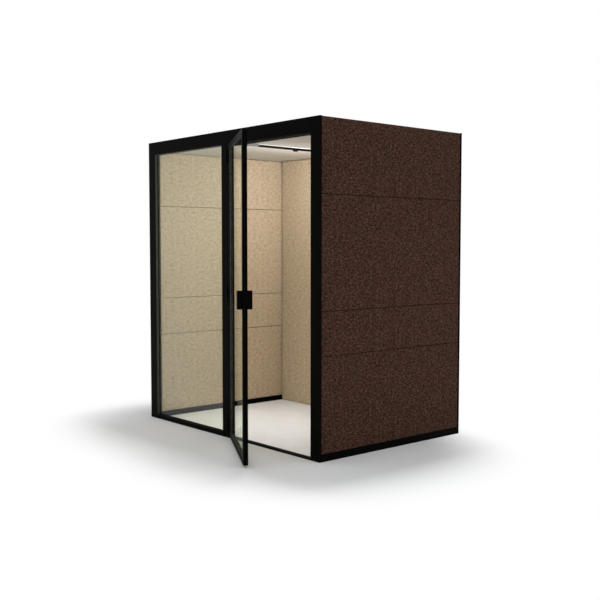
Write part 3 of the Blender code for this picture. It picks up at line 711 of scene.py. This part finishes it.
def swollen(corners, faces, stapled):
    """The corners after twenty frames of pressure, held to a tight cover's depth."""
    mesh = bpy.data.meshes.new("cover_in_the_press")
    mesh.from_pydata(corners.tolist(), [], faces)
    cover = bpy.data.objects.new("cover_in_the_press", mesh)
    scene.collection.objects.link(cover)
    cover.vertex_groups.new(name="stapled").add(stapled, 1.0, "REPLACE")
    cloth = cover.modifiers.new("foam", "CLOTH")
    cloth.settings.quality = 5
    cloth.settings.mass = 0.35
    cloth.settings.tension_stiffness = 60.0
    cloth.settings.compression_stiffness = 60.0
    cloth.settings.shear_stiffness = 30.0
    cloth.settings.bending_stiffness = 0.8
    cloth.settings.vertex_group_mass = "stapled"
    cloth.settings.use_pressure = True
    cloth.settings.uniform_pressure_force = PRESSURE
    cloth.settings.effector_weights.gravity = 0.0
    cloth.point_cache.frame_start = 1
    cloth.point_cache.frame_end = PRESS_FRAMES
    for step in range(1, PRESS_FRAMES + 1):
        scene.frame_set(step)
    pressed = cover.evaluated_get(bpy.context.evaluated_depsgraph_get()).data
    moved = np.empty(len(corners) * 3)
    pressed.vertices.foreach_get("co", moved)
    shift = moved.reshape(-1, 3) - corners
    scene.frame_set(1)
    bpy.data.objects.remove(cover)
    bpy.data.meshes.remove(mesh)
    depth = np.linalg.norm(shift, axis=1, keepdims=True)
    fullness = 1.0 - np.exp(-TIGHTNESS * depth / depth.max())
    shift = shift * SWELL * fullness / (1.0 - math.exp(-TIGHTNESS)) / np.maximum(depth, TINY)
    shift[:, :2] *= SIDEWAYS_SHARE
    return corners + shift, depth.max()


print("swelling is held to", SWELL * 1000, "mm")

# %% [markdown]
# ## Padded covers: hanging them
#
# Left and right panels have the same size, so a shape is made once and hung on both sides. Its UV map
# is simply u and v in metres, so the weave is the same size on every panel. One level of subdivision
# after the simulation rounds what the coarse grid leaves straight.

# %% Hang the covers
STRIPS = ("bottom", "band", "middle", "top")
OUTWARD = {
    **{f"left_outer_panel_{strip}": Vector((-1, 0, 0)) for strip in STRIPS},
    **{f"right_outer_panel_{strip}": Vector((1, 0, 0)) for strip in STRIPS},
    **{f"left_inner_panel_{strip}": Vector((1, 0, 0)) for strip in STRIPS},
    **{f"right_inner_panel_{strip}": Vector((-1, 0, 0)) for strip in STRIPS},
    "back_outer_panel": Vector((0, 1, 0)),
    "back_inner_panel": Vector((0, -1, 0)),
}
UP = Vector((0, 0, 1))
cover_shapes = {}


def cover_shape(width, height, thick, tailoring):
    """The flat and the full corners and the faces of a cover, made once for each size and tailoring."""
    key = (round(width, 4), round(height, 4), round(thick, 4), tailoring)
    if key not in cover_shapes:
        corners, faces, stapled = cut_cover(width, height, thick, tailoring)
        full, depth = swollen(corners, faces, stapled)
        print("cover", key, "free swelling", round(depth * 1000, 1), "mm, face out to",
              round(float(full[:, 2].max()) * 1000, 2), "mm of", round(thick * 1000, 2))
        cover_shapes[key] = (corners, full, faces)
    return cover_shapes[key]


def hang_cover(node, outward):
    """The cover of one CAD node, in the node's place."""
    low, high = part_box(node)
    sideways = UP.cross(outward)
    axes = Matrix((sideways, UP, outward))
    reach = axes @ (high - low)
    start = Vector(low[k] if sum(axis[k] for axis in axes) > 0 else high[k] for k in range(3))
    tailoring = TAILORING.get(node, TAILORING[node_slot[node]])
    flat, full, faces = cover_shape(*(abs(length) for length in reach), tailoring)
    mesh = bpy.data.meshes.new(f"{node}_cover")
    placed = np.array(start) + full @ np.array(axes)
    mesh.from_pydata(placed.tolist(), [], faces)
    weave = mesh.uv_layers.new(name="weave")
    loop_corner = np.empty(len(mesh.loops), dtype=np.int64)
    mesh.loops.foreach_get("vertex_index", loop_corner)
    weave.data.foreach_set("uv", flat[loop_corner, :2].ravel())
    mesh.polygons.foreach_set("use_smooth", np.ones(len(mesh.polygons), dtype=bool))
    mesh.materials.append(finishes[node_slot[node]])
    cover = bpy.data.objects.new(f"{node}_cover", mesh)
    scene.collection.objects.link(cover)
    finer = cover.modifiers.new("finer", "SUBSURF")
    finer.levels = 1
    finer.render_levels = 1
    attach(cover, "booth")
    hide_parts(node)
    return cover


covers = [hang_cover(node, outward) for node, outward in OUTWARD.items()]
spare(side_light, bpy.data.objects["back_inner_panel_cover"])
print("hung", len(covers), "covers from", len(cover_shapes), "shapes,",
      sum(len(cover.data.polygons) for cover in covers), "faces before subdivision")

# %% [markdown]
# ## Glazing beads
#
# A pane sits in its frame between two rubber beads that hide the cut edge of the glass and fill the rebate.
# A bead is one small profile with mitred corners. It runs all round the door's pane, and round three sides
# of the fixed pane, whose foot stands in the sill. A curve with a bevel would thin out at the corners, so
# each point of the profile gets its own rectangle, and neighbouring rectangles are joined.

# %% Beads
BEAD_CLEARANCE = 0.0001
BEAD_FOOT = 0.0003


def bead_profile(deep):
    """(inset, proud) of a bead that reaches so deep along its rebate, with a thin lip on the glass."""
    return ((0.0, 0.0), (0.0042, 0.0), (0.0042, 0.0012), (0.0030, 0.0028), (0.0026, deep - 0.0014),
            (0.0014, deep), (0.0, deep))


def bead_mesh(name, low, high, glass_face, outward, deep, placing, all_round):
    """A bead on one side of a pane: low and high are (x, z) of the opening, outward is -1 or 1 along y."""
    profile = bead_profile(deep)
    corners = []
    for inset, proud in profile:
        y = glass_face + outward * (BEAD_CLEARANCE + proud)
        left, right = low[0] + inset, high[0] - inset
        bottom, top = low[1] + (inset if all_round else BEAD_FOOT), high[1] - inset
        corners += [(right, y, bottom), (right, y, top), (left, y, top), (left, y, bottom)]
    faces = []
    count = len(profile)
    for ring in range(count):
        for side in range(4 if all_round else 3):
            here, there = 4 * ring, 4 * ((ring + 1) % count)
            after = (side + 1) % 4
            faces.append((here + side, here + after, there + after, there + side))
    if not all_round:
        faces.append(tuple(4 * ring for ring in range(count)))
        faces.append(tuple(4 * ring + 3 for ring in reversed(range(count))))
    if outward > 0:
        faces = [tuple(reversed(face)) for face in faces]
    mesh = bpy.data.meshes.new(name)
    mesh.from_pydata(corners, [], faces)
    mesh.transform(placing)
    return mesh


print("bead profile:", bead_profile(0.005))

# %% [markdown]
# The door hangs open, so its beads are made in the closed door's axes and turned into place. The hinge line
# and the opening angle come from the record's joint: its lower limit is the closed door. The fixed pane's
# beads fill the mullion's depth up to a small step, and the door's beads lie in its shallow rebate.

# %% Fit the beads
BEAD_SETBACK = 0.003
DOOR_BEAD = 0.0048
joints = frame["record"]["behaviour"]["joints"]
hinge = next(joint for joint in joints if joint["name"] == "door_hinge")
pivot = Vector((hinge["pos_m"][0], hinge["pos_m"][1], 0.0))
open_turn = Matrix.Rotation(math.radians(hinge["range_deg"][0]), 4, "Z")
door_place = Matrix.Translation(pivot) @ open_turn
still = Matrix.Identity(4)


def leaf_box(node):
    """A door node's lowest and highest corners in the leaf's own axes, from the hinge line."""
    back = door_place.inverted()
    corners = [back @ corner.co for corner in frame["nodes"][node].data.vertices]
    low = Vector(min(corner[k] for corner in corners) for k in range(3))
    high = Vector(max(corner[k] for corner in corners) for k in range(3))
    return low, high


def fit_bead(name, body, mesh):
    mesh.materials.append(finishes["black_rubber"])
    bead = bpy.data.objects.new(name, mesh)
    scene.collection.objects.link(bead)
    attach(bead, body)


pane_low, pane_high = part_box("fixed_glass")
mullion_low, mullion_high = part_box("front_mullion")
bay_low = (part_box("front_post_left")[1].x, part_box("front_sill")[1].z)
bay_high = (mullion_low.x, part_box("front_head")[0].z)
outer_deep = pane_low.y - mullion_low.y - BEAD_SETBACK
inner_deep = mullion_high.y - pane_high.y - BEAD_SETBACK
for name, face, outward, deep in (("fixed_bead_outer", pane_low.y, -1, outer_deep),
                                  ("fixed_bead_inner", pane_high.y, 1, inner_deep)):
    fit_bead(name, "booth", bead_mesh(name, bay_low, bay_high, face, outward, deep, still, False))

leaf_pane_low, leaf_pane_high = leaf_box("door_glass")
leaf_low = (leaf_box("door_hinge_stile")[1].x, leaf_box("door_bottom_rail")[1].z)
leaf_high = (leaf_box("door_lock_stile")[0].x, leaf_box("door_top_rail")[0].z)
for name, face, outward in (("door_bead_outer", leaf_pane_low.y, -1),
                            ("door_bead_inner", leaf_pane_high.y, 1)):
    fit_bead(name, "door", bead_mesh(name, leaf_low, leaf_high, face, outward, DOOR_BEAD, door_place, True))
print("fixed opening", bay_low, bay_high, "door opening", leaf_low, leaf_high)

# %% [markdown]
# ## Screws
#
# Small socket screws hold the hinge leaves, the threshold, the ceiling grille and the roof panel. They are
# all one shape, so Geometry Nodes makes one head, a low cone with a six-sided socket cut into it, and sets
# a copy on every point of a small point cloud. Each point carries the direction that its screw faces, and a
# seeded random turn keeps the sockets from lining up.

# %% The tree for screws
SCREW_SIZES = {
    "Head Radius": 0.0042,
    "Head Height": 0.0013,
    "Socket Radius": 0.0019,
    "Socket Depth": 0.0009,
}
CROWN_SHARE = 0.80
HEAD_SIDES = 16
SOCKET_SIDES = 6

screw_tree = bpy.data.node_groups.new("screw_heads", "GeometryNodeTree")
screw_tree.interface.new_socket("Geometry", in_out="INPUT", socket_type="NodeSocketGeometry")
for size in SCREW_SIZES:
    screw_tree.interface.new_socket(size, in_out="INPUT", socket_type="NodeSocketFloat")
screw_tree.interface.new_socket("Seed", in_out="INPUT", socket_type="NodeSocketInt")
screw_tree.interface.new_socket("Finish", in_out="INPUT", socket_type="NodeSocketMaterial")
screw_tree.interface.new_socket("Geometry", in_out="OUTPUT", socket_type="NodeSocketGeometry")

heads = Wiring(screw_tree)
given = heads.add("NodeGroupInput").outputs
crown = heads.math("MULTIPLY", given["Head Radius"], CROWN_SHARE)
head = heads.add("GeometryNodeMeshCone", {
    "Vertices": HEAD_SIDES, "Radius Top": crown, "Radius Bottom": given["Head Radius"],
    "Depth": given["Head Height"]}).outputs["Mesh"]
socket = heads.add("GeometryNodeMeshCylinder", {
    "Vertices": SOCKET_SIDES, "Radius": given["Socket Radius"],
    "Depth": given["Head Height"]}).outputs["Mesh"]
socket_top = heads.math("MULTIPLY", given["Head Height"], 1.5)
socket_rise = heads.math("SUBTRACT", socket_top, given["Socket Depth"])
sunk = heads.add("ShaderNodeCombineXYZ", {"Z": socket_rise}).outputs[0]
socket = heads.add("GeometryNodeTransform", {"Geometry": socket, "Translation": sunk}).outputs[0]
drilled = heads.add("GeometryNodeMeshBoolean", {"Mesh 1": head, "Mesh 2": socket}, operation="DIFFERENCE")

facing = heads.add("GeometryNodeInputNamedAttribute", {"Name": "facing"}, data_type="FLOAT_VECTOR")
aligned = heads.add("FunctionNodeAlignRotationToVector", {"Vector": facing.outputs[0]}, axis="Z").outputs[0]
chance = heads.add("FunctionNodeRandomValue", {2: 0.0, 3: math.tau, "Seed": given["Seed"]},
                   data_type="FLOAT").outputs[1]
twist = heads.add("FunctionNodeAxisAngleToRotation", {"Axis": (0.0, 0.0, 1.0), "Angle": chance}).outputs[0]
turned = heads.add("FunctionNodeRotateRotation", {"Rotation": aligned, "Rotate By": twist},
                   rotation_space="LOCAL").outputs[0]
copies = heads.add("GeometryNodeInstanceOnPoints", {
    "Points": given["Geometry"], "Instance": drilled.outputs["Mesh"], "Rotation": turned}).outputs[0]
solid = heads.add("GeometryNodeRealizeInstances", {"Geometry": copies}).outputs[0]
dressed = heads.add("GeometryNodeSetMaterial", {"Geometry": solid, "Material": given["Finish"]}).outputs[0]
heads.add("NodeGroupOutput", {"Geometry": dressed})
print("screw tree:", len(screw_tree.nodes), "nodes")

# %% [markdown]
# The tree runs once for each body, on that body's points, and its result is kept as a plain mesh.


# %% Run the tree
def drive_screws(name, body, spots, seed):
    """Runs the screw tree on a list of (place, facing) and keeps the result as one plain mesh."""
    cloud = bpy.data.meshes.new(f"{name}_points")
    cloud.from_pydata([place for place, facing in spots], [], [])
    facing_data = cloud.attributes.new("facing", "FLOAT_VECTOR", "POINT")
    facing_data.data.foreach_set("vector", [part for place, facing in spots for part in facing])
    carrier = bpy.data.objects.new(f"{name}_points", cloud)
    scene.collection.objects.link(carrier)
    nodes = carrier.modifiers.new("screws", "NODES")
    nodes.node_group = screw_tree
    values = {**SCREW_SIZES, "Seed": seed, "Finish": finishes["black_coat"]}
    for item in screw_tree.interface.items_tree:
        if item.in_out == "INPUT" and item.name in values:
            nodes[item.identifier] = values[item.name]
    graph = bpy.context.evaluated_depsgraph_get()
    mesh = bpy.data.meshes.new_from_object(carrier.evaluated_get(graph), depsgraph=graph)
    mesh.name = name
    bpy.data.objects.remove(carrier)
    screws = bpy.data.objects.new(name, mesh)
    scene.collection.objects.link(screws)
    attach(screws, body)
    print(name, "screws:", len(spots), "faces:", len(mesh.polygons))


tree_sockets = screw_tree.interface.items_tree
print("inputs of the screw tree:", [item.name for item in tree_sockets if item.in_out == "INPUT"])

# %% [markdown]
# The points. The hinge leaves take three screws each, on the mullion and on the door. The threshold takes
# five along its middle, the grille one in each corner, and the roof panel a row along each of its edges.

# %% Set the screws
HINGE_LEVELS = ("bottom", "middle", "top")
LEAF_MIDDLE = 0.019
LEAF_FRONT = 0.0044
LEAF_SPACING = 0.034
THRESHOLD_SCREWS = 5
THRESHOLD_MARGIN = 0.06
THRESHOLD_LINE = -0.6685
GRILLE_MARGIN = 0.009
ROOF_SCREWS = (7, 5)
ROOF_MARGIN = 0.04
ROOF_SINK = 0.0003


def screw_row(low, high, margin, count):
    """Evenly spread places between two edges, the first and the last a margin inside them."""
    return [low + margin + (high - low - 2 * margin) * step / (count - 1) for step in range(count)]


booth_spots = []
door_spots = []
TO_FRONT = Vector((0, -1, 0))
for level in HINGE_LEVELS:
    leaf_bottom, leaf_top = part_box(f"hinge_{level}_frame_leaf")
    centre = (leaf_bottom.z + leaf_top.z) / 2
    for z in (centre - LEAF_SPACING, centre, centre + LEAF_SPACING):
        booth_spots.append((pivot + Vector((-LEAF_MIDDLE, LEAF_FRONT, z)), TO_FRONT))
        door_spots.append((door_place @ Vector((LEAF_MIDDLE, LEAF_FRONT, z)),
                           door_place.to_3x3() @ TO_FRONT))

sill_low, sill_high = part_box("door_threshold")
for x in screw_row(sill_low.x, sill_high.x, THRESHOLD_MARGIN, THRESHOLD_SCREWS):
    booth_spots.append((Vector((x, THRESHOLD_LINE, sill_high.z)), UP))

grille_low, grille_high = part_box("ceiling_grille")
for x in (grille_low.x + GRILLE_MARGIN, grille_high.x - GRILLE_MARGIN):
    for y in (grille_low.y + GRILLE_MARGIN, grille_high.y - GRILLE_MARGIN):
        booth_spots.append((Vector((x, y, grille_low.z)), -UP))

roof_low, roof_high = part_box("roof_panel")
roof_x = screw_row(roof_low.x, roof_high.x, ROOF_MARGIN, ROOF_SCREWS[0])
roof_y = screw_row(roof_low.y, roof_high.y, ROOF_MARGIN, ROOF_SCREWS[1])
roof_rows = [(x, y) for x in roof_x for y in (roof_y[0], roof_y[-1])]
roof_rows += [(x, y) for y in roof_y[1:-1] for x in (roof_x[0], roof_x[-1])]
booth_spots += [(Vector((x, y, roof_high.z - ROOF_SINK)), UP) for x, y in roof_rows]

drive_screws("booth_screws", "booth", booth_spots, 3)
drive_screws("door_screws", "door", door_spots, 8)
